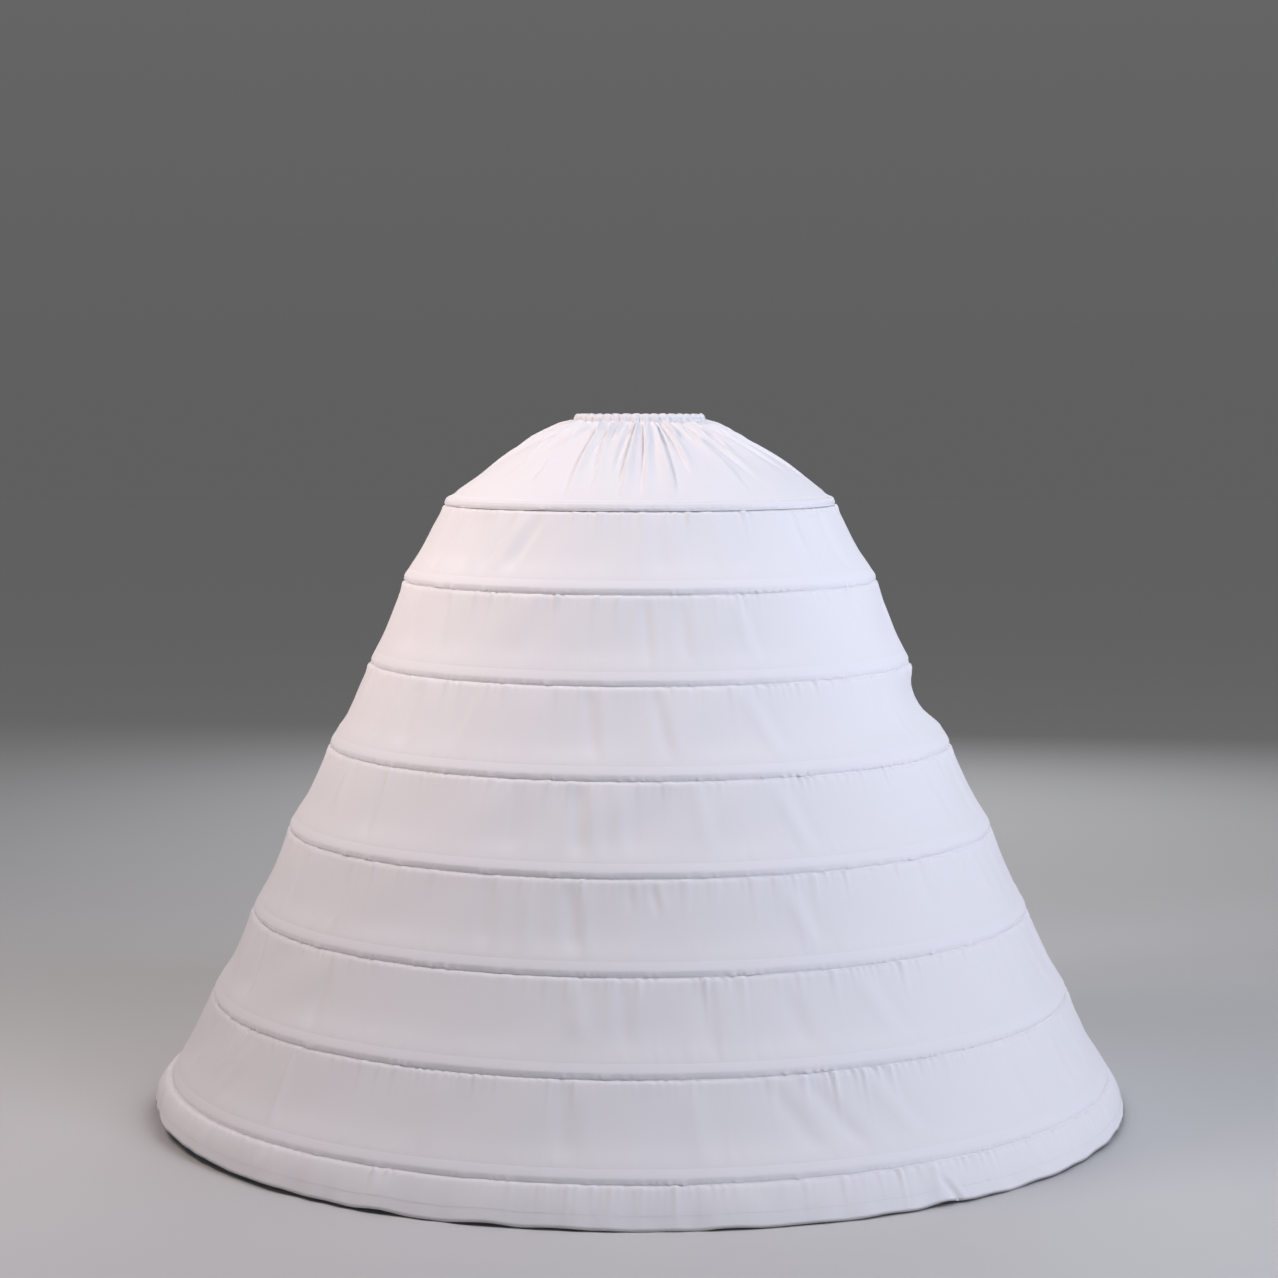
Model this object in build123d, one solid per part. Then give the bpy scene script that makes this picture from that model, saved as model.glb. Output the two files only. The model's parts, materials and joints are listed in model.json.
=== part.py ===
from build123d import *
import os
from math import atan2, cos, degrees, sin

# Crinoline cage of the covered kind: a bell of white cloth kept open by eight flat steel hoops.
# A yoke gathered on elastic hangs from the waist. Seven flared tiers follow, seamed end to end,
# and a hem flounce finishes the lower edge. Over each seam sits a narrow casing of folded cloth,
# and a hoop runs inside it, with its two ends butted in a crimped metal sleeve at the back.
#
# Frame: millimetres, +Z up, origin on the floor at the centre of the hem. -Y is the wearer's
# front and +Y the back. Every piece is turned about Z from a section drawn in the XZ plane,
# where the first coordinate is the radius and the second the height.

# Shape of the bell
WAIST_HEIGHT = 1150.0
WAIST_RADIUS = 100.0                # inner wall of the waist channel
HOOPS = (                           # radius and height of each casing seam, from the top down
    (317.0, 1010.0),
    (386.0, 885.0),
    (441.0, 749.0),
    (509.0, 613.0),
    (577.0, 477.0),
    (637.0, 341.0),
    (704.0, 205.0),
    (774.0, 69.0),
)
HEM_RADIUS = 806.0
HEM_TURN_UP = 20.0                  # depth of the folded lower edge
HEM_BOW = 1.0                       # how far the flounce rounds out at the fold's stitch line
YOKE_CROWN = 10.0                   # how far the yoke rounds out from a straight cone

# Cloth and waist
CLOTH = 1.0                         # thickness of one finished layer
CHANNEL_HEIGHT = 14.0
CHANNEL_DEPTH = 5.0                 # inner wall, tunnel and outer wall together
ELASTIC_WIDTH = 9.0
ELASTIC_THICKNESS = 1.2

# Hoops, their sleeves and their casings
STEEL_WIDTH = 7.0
STEEL_THICKNESS = 1.4
BUTT_GAP = 1.0                      # between the two ends of a hoop, inside its sleeve
SLEEVE_LENGTH = 36.0
SLEEVE_WALL = 0.5
SLEEVE_PLAY = 0.1                   # between a hoop and the sleeve's inner faces
CASING_WIDTH = 12.0
CASING_DEPTH = 5.0
CASING_CORNER = 2.0                 # rounding of a casing's two outer corners
CASING_WALL = 0.8
CASING_STAND_OFF = 0.2              # between a casing's back and the tiers it covers

BACK = 90.0                         # azimuth of the hoop ends, from +X towards +Y


def spin(section, start=0.0, sweep=360.0):
    """Turn a flat section about Z, from one azimuth through an angle, in degrees."""
    return Rot(0, 0, start) * revolve(section, axis=Axis.Z, revolution_arc=sweep)


def section(outline, hole=None):
    """A flat section in the XZ plane from the corners of an outline, less those of a hole."""
    face = make_face(Plane.XZ * Polyline(*outline, close=True))
    if hole:
        face -= section(hole)
    return face


def direction(start, end):
    """Unit vector from one section point to another."""
    return (Vector(*end) - Vector(*start)).normalized()


def outward(down):
    """The outward normal of a line that runs down the bell."""
    return Vector(-down.Y, down.X)


def pair(vector):
    return (vector.X, vector.Y)


class Seam:
    """Where two bands of cloth meet: its place, the way each band runs, and its outward normal."""

    def __init__(self, down_above, here, below):
        self.place = Vector(*here)
        self.down_above = down_above
        self.down_below = direction(here, below)
        self.normal = outward((self.down_above + self.down_below).normalized())
        self.tangent = Vector(self.normal.Y, -self.normal.X)

    def on_cloth(self, along, out=0.0):
        """A point on the cloth's outer face, along mm below the seam, and out mm off it."""
        down = self.down_below if along > 0 else self.down_above
        return pair(self.place + down * along + self.normal * out)

    def level(self, along, out):
        """A point in the seam's own square frame."""
        return pair(self.place + self.tangent * along + self.normal * out)

    def box(self, width, low, high):
        """Four corners of a rectangle centred on the seam, between two distances off the cloth."""
        half = width / 2
        corners = ((-half, low), (half, low), (half, high), (-half, high))
        return [self.level(along, out) for along, out in corners]


CHANNEL_FLOOR = WAIST_HEIGHT - CHANNEL_HEIGHT
CHANNEL_FACE = WAIST_RADIUS + CHANNEL_DEPTH
YOKE_TOP = (CHANNEL_FACE, CHANNEL_FLOOR + CLOTH * 2)
HEM_EDGE = (HEM_RADIUS, 0.0)


def yoke_foot_direction():
    """The way the yoke runs where its arc ends, steeper than its chord by half the arc's turn."""
    chord = Vector(*HOOPS[0]) - Vector(*YOKE_TOP)
    half_turn = 2 * atan2(2 * YOKE_CROWN, chord.length)
    slope = atan2(chord.Y, chord.X) - half_turn
    return Vector(cos(slope), sin(slope))


def seams():
    """The eight seams under the casings, from the top down."""
    found = []
    down_above = yoke_foot_direction()
    for here, below in zip(HOOPS, HOOPS[1:] + (HEM_EDGE,)):
        found.append(Seam(down_above, here, below))
        down_above = found[-1].down_below
    return found


SEAMS = seams()

# Layers inside a casing, as distances off the cloth's outer face
TUNNEL_LOW = CASING_STAND_OFF + CASING_WALL
TUNNEL_HIGH = CASING_DEPTH - CASING_WALL
TUNNEL_MIDDLE = (TUNNEL_LOW + TUNNEL_HIGH) / 2
TUNNEL_WIDTH = CASING_WIDTH - CASING_WALL * 4


def upright(inner, outer, low, high):
    """Four corners of a rectangle between two radii and two heights."""
    return [(inner, low), (outer, low), (outer, high), (inner, high)]


def waist_elastic():
    """A flat elastic ring, standing free in the waist channel."""
    inner = WAIST_RADIUS + (CHANNEL_DEPTH - ELASTIC_THICKNESS) / 2
    low = CHANNEL_FLOOR + (CHANNEL_HEIGHT - ELASTIC_WIDTH) / 2
    return spin(section(upright(inner, inner + ELASTIC_THICKNESS, low, low + ELASTIC_WIDTH)))


def yoke():
    """The gathered top: a rounded cone, with its upper edge folded into the elastic's channel."""
    seam = SEAMS[0]
    top_out = Vector(*YOKE_TOP)
    top_in = Vector(CHANNEL_FACE - CLOTH, CHANNEL_FLOOR)
    foot_out = seam.place
    foot_in = foot_out - seam.normal * CLOTH
    bulge = outward((foot_out - top_out).normalized()) * YOKE_CROWN
    fold = Polyline(
        pair(top_out),
        (CHANNEL_FACE, WAIST_HEIGHT),
        (WAIST_RADIUS, WAIST_HEIGHT),
        (WAIST_RADIUS, CHANNEL_FLOOR),
        pair(top_in),
    )
    inner_arc = ThreePointArc(pair(top_in), pair((top_in + foot_in) / 2 + bulge), pair(foot_in))
    foot = Line(pair(foot_in), pair(foot_out))
    outer_arc = ThreePointArc(pair(foot_out), pair((foot_out + top_out) / 2 + bulge), pair(top_out))
    cloth = make_face(Plane.XZ * (fold + inner_arc + foot + outer_arc))
    tunnel = section(
        upright(WAIST_RADIUS + CLOTH, CHANNEL_FACE - CLOTH, CHANNEL_FLOOR + CLOTH, WAIST_HEIGHT - CLOTH)
    )
    return spin(cloth - tunnel)


def tier(upper, lower):
    """A flared band of cloth from one seam to the next, cut square to the cloth at both ends."""
    return spin(section([
        pair(upper.place),
        pair(lower.place),
        pair(lower.place - lower.normal * CLOTH),
        pair(upper.place - upper.normal * CLOTH),
    ]))


def hem_flounce():
    """The band under the lowest hoop: its edge is turned up inside, to a stitch line, on a flat foot."""
    seam = SEAMS[-1]
    down = seam.down_below
    edge = Vector(*HEM_EDGE)
    inward = Vector(-CLOTH, 0)
    turn_up = edge - down * HEM_TURN_UP + outward(down) * HEM_BOW
    return spin(section([
        pair(seam.place),
        pair(turn_up),
        pair(edge),
        pair(edge + inward * 2),
        pair(turn_up + inward * 2),
        pair(turn_up + inward),
        pair(seam.place - seam.normal * CLOTH),
    ]))


def casing(seam):
    """A flat tube of folded cloth over a seam: its back follows the cloth, and its face is rounded."""
    half = CASING_WIDTH / 2
    back = [seam.on_cloth(along, CASING_STAND_OFF) for along in (-half, 0.0, half)]
    face = [seam.level(half, CASING_DEPTH), seam.level(-half, CASING_DEPTH)]
    radii = [0.0] * len(back) + [CASING_CORNER] * len(face)
    outside = make_face(Plane.XZ * FilletPolyline(*back, *face, radius=radii, close=True))
    tunnel = section(seam.box(TUNNEL_WIDTH, TUNNEL_LOW, TUNNEL_HIGH))
    return spin(outside - tunnel)


def hoop(seam):
    """A flat steel strip bent to a ring, open by the gap between its butted ends."""
    half = STEEL_THICKNESS / 2
    strip = section(seam.box(STEEL_WIDTH, TUNNEL_MIDDLE - half, TUNNEL_MIDDLE + half))
    gap = degrees(BUTT_GAP / seam.place.X)
    return spin(strip, BACK + gap / 2, 360.0 - gap)


def hoop_sleeve(seam):
    """A crimped metal sleeve round the two ends of a hoop."""
    inner_half = STEEL_THICKNESS / 2 + SLEEVE_PLAY
    outer_half = inner_half + SLEEVE_WALL
    inner_width = STEEL_WIDTH + SLEEVE_PLAY * 2
    outer_width = inner_width + SLEEVE_WALL * 2
    tube = section(
        seam.box(outer_width, TUNNEL_MIDDLE - outer_half, TUNNEL_MIDDLE + outer_half),
        seam.box(inner_width, TUNNEL_MIDDLE - inner_half, TUNNEL_MIDDLE + inner_half),
    )
    sweep = degrees(SLEEVE_LENGTH / seam.place.X)
    return spin(tube, BACK - sweep / 2, sweep)


def build():
    """Every sub-part by its name."""
    parts = {"waist_elastic": waist_elastic(), "yoke": yoke(), "hem_flounce": hem_flounce()}
    for number, (upper, lower) in enumerate(zip(SEAMS, SEAMS[1:]), start=1):
        parts[f"tier_{number}"] = tier(upper, lower)
    for number, seam in enumerate(SEAMS, start=1):
        parts[f"casing_{number}"] = casing(seam)
        parts[f"hoop_{number}"] = hoop(seam)
        parts[f"hoop_sleeve_{number}"] = hoop_sleeve(seam)
    return parts


os.makedirs("parts", exist_ok=True)
for name, shape in build().items():
    export_step(shape, f"parts/{name}.step")
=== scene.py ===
import json
import math

import bpy
import numpy as np
from bpy.props import (
    FloatProperty,
    FloatVectorProperty,
    IntProperty,
    PointerProperty,
)
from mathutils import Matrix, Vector


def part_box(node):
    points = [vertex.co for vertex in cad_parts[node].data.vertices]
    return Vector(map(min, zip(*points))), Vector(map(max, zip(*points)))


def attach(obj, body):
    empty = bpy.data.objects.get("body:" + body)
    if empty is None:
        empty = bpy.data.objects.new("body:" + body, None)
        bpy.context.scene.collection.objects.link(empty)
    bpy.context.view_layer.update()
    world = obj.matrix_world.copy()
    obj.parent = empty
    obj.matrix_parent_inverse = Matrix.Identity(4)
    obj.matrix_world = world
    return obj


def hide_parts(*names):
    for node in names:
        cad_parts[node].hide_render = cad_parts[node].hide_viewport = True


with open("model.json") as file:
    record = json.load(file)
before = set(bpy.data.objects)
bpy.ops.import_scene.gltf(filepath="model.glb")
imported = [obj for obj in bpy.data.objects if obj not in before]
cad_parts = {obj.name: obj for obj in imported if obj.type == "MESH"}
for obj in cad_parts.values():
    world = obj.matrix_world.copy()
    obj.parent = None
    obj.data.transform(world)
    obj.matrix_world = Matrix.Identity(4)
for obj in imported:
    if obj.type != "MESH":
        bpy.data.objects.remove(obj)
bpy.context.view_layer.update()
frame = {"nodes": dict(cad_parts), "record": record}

bl_info = {
    "name": "Crinoline Cage",
    "version": (1, 0, 0),
    "blender": (4, 5, 0),
    "location": "3D View > Sidebar > Crinoline",
    "description": "Dresses the hoops of a covered crinoline cage in gathered and seamed taffeta",
    "category": "Object",
}

# ---------------------------------------------------------------- the bell, from the frame

TIER_COUNT = 7
HOOP_COUNT = TIER_COUNT + 1
TIERS = [f"tier_{n}" for n in range(1, HOOP_COUNT)]
BANDS = ["yoke"] + TIERS + ["hem_flounce"]
MM = 0.001
TURN = 2 * math.pi


def mount_radius(name):
    """The radius of a round mount, in metres."""
    found = next(m for m in frame["record"]["mounts"] if m["name"] == name)
    return found["dims"]["r_mm"] * MM


def unit(vector):
    """A vector of the same direction and of length 1."""
    return vector / np.linalg.norm(vector)


def outward(down):
    """The outward normal of a line that runs down the bell, as (radius, height)."""
    return np.array([-down[1], down[0]])


class Seam:
    """A casing's line round the bell: its place, the ways to it and down it, and its outward normal."""

    def __init__(self, place, before, after):
        self.place = place
        self.above = unit(place - before)
        self.down = unit(self.above + unit(after - place))
        self.out = outward(self.down)

    def point(self, along, off):
        """Radius and height of a point along mm below the seam and off mm outside the cloth."""
        way = self.above if along < 0 else self.down
        return self.place + (way * along + self.out * off) * MM


def read_seams():
    """The eight casing seams from the top down, read from the boxes of the bands beside them."""
    pairs = zip(BANDS, BANDS[1:])
    places = [np.array([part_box(above)[1].x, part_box(below)[1].z]) for above, below in pairs]
    first = np.array([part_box("waist_elastic")[1].x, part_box("waist_elastic")[0].z])
    last = np.array([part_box("hem_flounce")[1].x, 0.0])
    chain = [first] + places + [last]
    seams = []
    for before, here, after in zip(chain, chain[1:], chain[2:]):
        seams.append(Seam(here, before, after))
    return seams


SEAMS = read_seams()
WAIST_RADIUS = mount_radius("waist")
WAIST_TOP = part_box("yoke")[1].z
ELASTIC_LOW, ELASTIC_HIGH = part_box("waist_elastic")
HEM_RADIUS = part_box("hem_flounce")[1].x


# ---------------------------------------------------------------- settings

class ClothSettings(bpy.types.PropertyGroup):
    """Sizes and finish of the taffeta."""

    colour: FloatVectorProperty(
        name="Colour", description="Colour of the taffeta", subtype="COLOR",
        default=(0.86, 0.85, 0.875), min=0.0, max=1.0,
    )
    column_spacing: FloatProperty(
        name="Column Spacing", description="Distance between mesh columns at a band's lower edge",
        default=0.0036, min=0.002, max=0.02, unit="LENGTH",
    )
    rows: IntProperty(
        name="Rows", description="Mesh rows down the open part of one tier", default=10, min=4, max=60,
    )
    hollow: FloatProperty(
        name="Hollow", description="How far a tier sinks in between its hoops",
        default=0.0022, min=0.0, max=0.02, unit="LENGTH",
    )
    fold_depth: FloatProperty(
        name="Fold Depth", description="Scale of every soft fold, 1 as sewn", default=1.0, min=0.0, max=3.0,
    )
    thread_spacing: FloatProperty(
        name="Thread Spacing", description="Distance between crosswise ribs of the weave",
        default=0.0007, min=0.0002, max=0.005, unit="LENGTH",
    )
    seed: IntProperty(name="Seed", description="Seed for the free folds", default=11, min=0)


class CasingSettings(bpy.types.PropertyGroup):
    """Sizes of the hoop casings."""

    lift: FloatProperty(
        name="Lift", description="How far a casing stands off the cloth at its crest",
        default=0.0044, min=0.0042, max=0.012, unit="LENGTH",
    )
    column_spacing: FloatProperty(
        name="Column Spacing", description="Distance between mesh columns round a casing",
        default=0.0032, min=0.001, max=0.02, unit="LENGTH",
    )
    pucker_spacing: FloatProperty(
        name="Pucker Spacing", description="Distance between the small puckers along a stitched edge",
        default=0.0135, min=0.004, max=0.05, unit="LENGTH",
    )
    pucker_depth: FloatProperty(
        name="Pucker Depth", description="Depth of those puckers", default=0.0015, min=0.0, max=0.004,
        unit="LENGTH",
    )


class StitchSettings(bpy.types.PropertyGroup):
    """Sizes of the machine stitches."""

    spacing: FloatProperty(
        name="Spacing", description="Distance from one stitch to the next", default=0.0042,
        min=0.001, max=0.02, unit="LENGTH",
    )
    length: FloatProperty(
        name="Length", description="Length of a stitch", default=0.0033, min=0.0005, max=0.02, unit="LENGTH",
    )
    thickness: FloatProperty(
        name="Thickness", description="Thickness of the thread", default=0.0006, min=0.0001, max=0.003,
        unit="LENGTH",
    )


class StageSettings(bpy.types.PropertyGroup):
    """The floor, the lights and the camera."""

    floor_colour: FloatVectorProperty(
        name="Floor Colour", description="Colour of the plain floor", subtype="COLOR",
        default=(0.62, 0.62, 0.62), min=0.0, max=1.0,
    )
    sky_horizon: FloatProperty(
        name="Sky Horizon", description="Strength of the even light at the horizon", default=0.115, min=0.0,
    )
    sky_height: FloatProperty(
        name="Sky Height", description="How much stronger that light is overhead", default=0.105, min=0.0,
    )
    key_power: FloatProperty(
        name="Key Power", description="Power of the warm light high on the left", default=29.0, min=0.0,
        unit="POWER",
    )
    side_power: FloatProperty(
        name="Side Power", description="Power of the cool light low on the right", default=56.0,
        min=0.0, unit="POWER",
    )
    front_power: FloatProperty(
        name="Front Power", description="Power of the cool light high in front on the right", default=42.0,
        min=0.0, unit="POWER",
    )
    accent_power: FloatProperty(
        name="Accent Power", description="Power of the spot on the upper left, twice that on the right",
        default=110.0, min=0.0, unit="POWER",
    )
    top_power: FloatProperty(
        name="Top Power", description="Power of the light overhead", default=7.0, min=0.0, unit="POWER",
    )
    back_power: FloatProperty(
        name="Back Power", description="Power of the light behind, which shows the back", default=50.0,
        min=0.0, unit="POWER",
    )
    camera_distance: FloatProperty(
        name="Camera Distance", description="Distance from the camera to the bell's axis", default=4.85,
        min=1.0, unit="LENGTH",
    )
    camera_height: FloatProperty(
        name="Camera Height", description="Height of the camera above the floor", default=1.175, min=0.0,
        unit="LENGTH",
    )
    camera_pitch: FloatProperty(
        name="Camera Pitch", description="How far the camera looks down", default=math.radians(4.7),
        subtype="ANGLE",
    )
    lens: FloatProperty(
        name="Lens", description="Focal length of the camera on a 36 mm sensor", default=82.2, min=10.0,
        unit="CAMERA",
    )


class CageSettings(bpy.types.PropertyGroup):
    """Everything a user would change."""

    cloth: PointerProperty(type=ClothSettings)
    casing: PointerProperty(type=CasingSettings)
    stitch: PointerProperty(type=StitchSettings)
    stage: PointerProperty(type=StageSettings)


# ---------------------------------------------------------------- node helpers

def add_node(tree, kind, inputs=None, **attributes):
    """A node with its attributes and plain input values set."""
    node = tree.nodes.new(kind)
    for name, value in attributes.items():
        setattr(node, name, value)
    for name, value in (inputs or {}).items():
        node.inputs[name].default_value = value
    return node


def wire(tree, source, target):
    """Joins two sockets, or the first output of a node."""
    output = source.outputs[0] if isinstance(source, bpy.types.Node) else source
    tree.links.new(output, target)


def maths(tree, operation, first, second=0.0, clamp=False):
    """A Math node. Each operand is a number or an output socket."""
    node = add_node(tree, "ShaderNodeMath", operation=operation, use_clamp=clamp)
    for socket, value in zip(node.inputs, (first, second)):
        if isinstance(value, (int, float)):
            socket.default_value = value
        else:
            wire(tree, value, socket)
    return node.outputs[0]


def group_tree(name, kind, inputs, outputs):
    """A node group with named sockets, and its input and output nodes."""
    tree = bpy.data.node_groups.new(name, kind)
    for label, socket_type, default in inputs:
        socket = tree.interface.new_socket(label, in_out="INPUT", socket_type=socket_type)
        if default is not None:
            socket.default_value = default
    for label, socket_type in outputs:
        tree.interface.new_socket(label, in_out="OUTPUT", socket_type=socket_type)
    return tree, tree.nodes.new("NodeGroupInput"), tree.nodes.new("NodeGroupOutput")


# ---------------------------------------------------------------- finishes

LIGHT_THROUGH = 0.12                # share of the light on the cloth that shows on its other side


def weave_group():
    """Plain taffeta weave: fine crosswise ribs, uneven threads, and a slow mottling of the dye."""
    tree, given, result = group_tree(
        "taffeta_weave",
        "ShaderNodeTree",
        [
            ("Cloth", "NodeSocketVector", None),
            ("Rib Spacing", "NodeSocketFloat", 0.0007),
            ("Slub", "NodeSocketFloat", 0.5),
        ],
        [("Height", "NodeSocketFloat"), ("Tone", "NodeSocketFloat"), ("Crease", "NodeSocketFloat")],
    )
    split = add_node(tree, "ShaderNodeSeparateXYZ")
    wire(tree, given.outputs["Cloth"], split.inputs[0])
    turns = maths(tree, "DIVIDE", TURN, given.outputs["Rib Spacing"])
    ribs = maths(tree, "SINE", maths(tree, "MULTIPLY", split.outputs["Y"], turns))
    ends = maths(tree, "SINE", maths(tree, "MULTIPLY", split.outputs["X"], turns))
    plain = maths(tree, "ADD", maths(tree, "MULTIPLY", ribs, 0.7), maths(tree, "MULTIPLY", ends, 0.3))

    stretch = add_node(tree, "ShaderNodeMapping", {"Scale": (18.0, 900.0, 1.0)})
    wire(tree, given.outputs["Cloth"], stretch.inputs["Vector"])
    slubs = add_node(tree, "ShaderNodeTexNoise", {"Scale": 1.0, "Detail": 2.0})
    wire(tree, stretch, slubs.inputs["Vector"])
    slub = maths(tree, "MULTIPLY", maths(tree, "SUBTRACT", slubs.outputs["Fac"], 0.5), given.outputs["Slub"])

    mottle = add_node(tree, "ShaderNodeTexNoise", {"Scale": 9.0, "Detail": 3.0})
    wire(tree, given.outputs["Cloth"], mottle.inputs["Vector"])
    creases = add_node(tree, "ShaderNodeTexNoise", {"Scale": 14.0, "Detail": 5.0, "Roughness": 0.62})
    wire(tree, given.outputs["Cloth"], creases.inputs["Vector"])

    wire(tree, maths(tree, "ADD", maths(tree, "MULTIPLY", plain, 0.35), slub), result.inputs["Height"])
    tone = maths(tree, "ADD", mottle.outputs["Fac"], maths(tree, "MULTIPLY", slub, 0.6))
    wire(tree, tone, result.inputs["Tone"])
    wire(tree, creases.outputs["Fac"], result.inputs["Crease"])
    return tree


def new_material(name):
    """An empty node material with its output node."""
    material = bpy.data.materials.new(name)
    material.use_nodes = True
    tree = material.node_tree
    tree.nodes.clear()
    return material, tree, add_node(tree, "ShaderNodeOutputMaterial")


def two_tones(tree, pattern, dark, light, low=0.0, high=1.0):
    """A ramp that runs from a dark tone to a light one across a pattern."""
    ramp = add_node(tree, "ShaderNodeValToRGB")
    for element, position, tone in zip(ramp.color_ramp.elements, (low, high), (dark, light)):
        element.position = position
        element.color = (*tone, 1.0)
    wire(tree, pattern, ramp.inputs["Fac"])
    return ramp


def raised(tree, height, strength, distance):
    """A Bump node that reads a height."""
    bump = add_node(tree, "ShaderNodeBump", {"Strength": strength, "Distance": distance})
    wire(tree, height, bump.inputs["Height"])
    return bump


def face_node(tree, values, tint, relief=None, rough=None):
    """A Principled surface with its colour wired in, and its relief and roughness where given."""
    face = add_node(tree, "ShaderNodeBsdfPrincipled", values)
    for label, source in (("Base Color", tint), ("Normal", relief), ("Roughness", rough)):
        if source is not None:
            wire(tree, source, face.inputs[label])
    return face


def cloth_material(name, colour, rib_spacing):
    """White woven cloth: a soft sheen, a fine weave in the relief, and some light let through."""
    material, tree, output = new_material(name)
    uv = add_node(tree, "ShaderNodeUVMap", uv_map="cloth")
    weave = add_node(tree, "ShaderNodeGroup", node_tree=bpy.data.node_groups["taffeta_weave"])
    weave.inputs["Rib Spacing"].default_value = rib_spacing
    wire(tree, uv, weave.inputs["Cloth"])

    tone = weave.outputs["Tone"]
    tint = two_tones(tree, tone, [c * 0.955 for c in colour], colour, 0.25, 0.75)
    rough = maths(tree, "ADD", maths(tree, "MULTIPLY", tone, 0.12), 0.5)
    fine = raised(tree, weave.outputs["Height"], 0.25, 0.0004)
    soft = raised(tree, weave.outputs["Crease"], 0.35, 0.0035)
    wire(tree, soft, fine.inputs["Normal"])

    values = {"Sheen Weight": 0.25, "Sheen Roughness": 0.4, "Specular IOR Level": 0.35}
    face = face_node(tree, values, tint, fine, rough)
    behind = add_node(tree, "ShaderNodeBsdfTranslucent")
    wire(tree, tint, behind.inputs["Color"])
    mix = add_node(tree, "ShaderNodeMixShader", {"Fac": LIGHT_THROUGH})
    wire(tree, face, mix.inputs[1])
    wire(tree, behind, mix.inputs[2])
    wire(tree, mix, output.inputs["Surface"])
    return material


def thread_material():
    """Glossy polyester sewing thread with a twisted ply."""
    material, tree, output = new_material("sewing_thread")
    place = add_node(tree, "ShaderNodeTexCoord")
    ply = add_node(tree, "ShaderNodeTexWave", {"Scale": 900.0}, bands_direction="DIAGONAL")
    wire(tree, place.outputs["Object"], ply.inputs["Vector"])
    tint = two_tones(tree, ply.outputs["Fac"], (0.66, 0.65, 0.69), (0.84, 0.83, 0.86))
    relief = raised(tree, ply.outputs["Fac"], 0.3, 0.0002)
    face = face_node(tree, {"Roughness": 0.38, "Sheen Weight": 0.2}, tint, relief)
    wire(tree, face, output.inputs["Surface"])
    return material


def metal_material(name, dark, light, metallic, roughness, grain):
    """Metal or coated metal with a fine streaked grain."""
    material, tree, output = new_material(name)
    place = add_node(tree, "ShaderNodeTexCoord")
    stretch = add_node(tree, "ShaderNodeMapping", {"Scale": (40.0, 40.0, grain)})
    wire(tree, place.outputs["Object"], stretch.inputs["Vector"])
    lines = add_node(tree, "ShaderNodeTexNoise", {"Scale": 1.0, "Detail": 3.0})
    wire(tree, stretch, lines.inputs["Vector"])
    streak = lines.outputs["Fac"]
    tint = two_tones(tree, streak, dark, light, 0.3, 0.7)
    relief = raised(tree, streak, 0.2, 0.0003)
    rough = maths(tree, "ADD", maths(tree, "MULTIPLY", streak, 0.15), roughness)
    face = face_node(tree, {"Metallic": metallic}, tint, relief, rough)
    wire(tree, face, output.inputs["Surface"])
    return material


def elastic_material():
    """Braided white elastic: close ribs of covered rubber."""
    material, tree, output = new_material("braided_elastic")
    place = add_node(tree, "ShaderNodeTexCoord")
    ribs = add_node(tree, "ShaderNodeTexWave", {"Scale": 420.0, "Distortion": 0.6}, bands_direction="Z")
    wire(tree, place.outputs["Object"], ribs.inputs["Vector"])
    tint = two_tones(tree, ribs.outputs["Fac"], (0.62, 0.61, 0.6), (0.86, 0.86, 0.85))
    relief = raised(tree, ribs.outputs["Fac"], 0.5, 0.0004)
    face = face_node(tree, {"Roughness": 0.75, "Sheen Weight": 0.3}, tint, relief)
    wire(tree, face, output.inputs["Surface"])
    return material


def make_materials(settings):
    """Every finish, made once, by name."""
    weave_group()
    colour = tuple(settings.cloth.colour)
    spacing = settings.cloth.thread_spacing
    cloth_material("white_taffeta", colour, spacing)
    cloth_material("casing_tape", colour, spacing * 0.8)
    thread_material()
    metal_material("coated_steel", (0.74, 0.74, 0.73), (0.86, 0.86, 0.85), 0.0, 0.3, 900.0)
    metal_material("plated_sleeve", (0.42, 0.42, 0.43), (0.68, 0.68, 0.69), 1.0, 0.28, 1400.0)
    elastic_material()


def finish_with(piece, *names):
    """Puts finishes, by name, into a piece's material slots."""
    piece.data.materials.clear()
    for name in names:
        piece.data.materials.append(bpy.data.materials[name])


# ---------------------------------------------------------------- cloth surfaces

def around(columns):
    """Angles from the front centre, from the back seam once round to just before it."""
    return -math.pi + TURN * np.arange(columns) / columns


def turned(angle, radius, height):
    """Points in space from an angle off the front centre, a radius and a height."""
    radius, height, angle = np.broadcast_arrays(radius, height, angle)
    return np.stack([radius * np.sin(angle), -radius * np.cos(angle), height], axis=-1)


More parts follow.
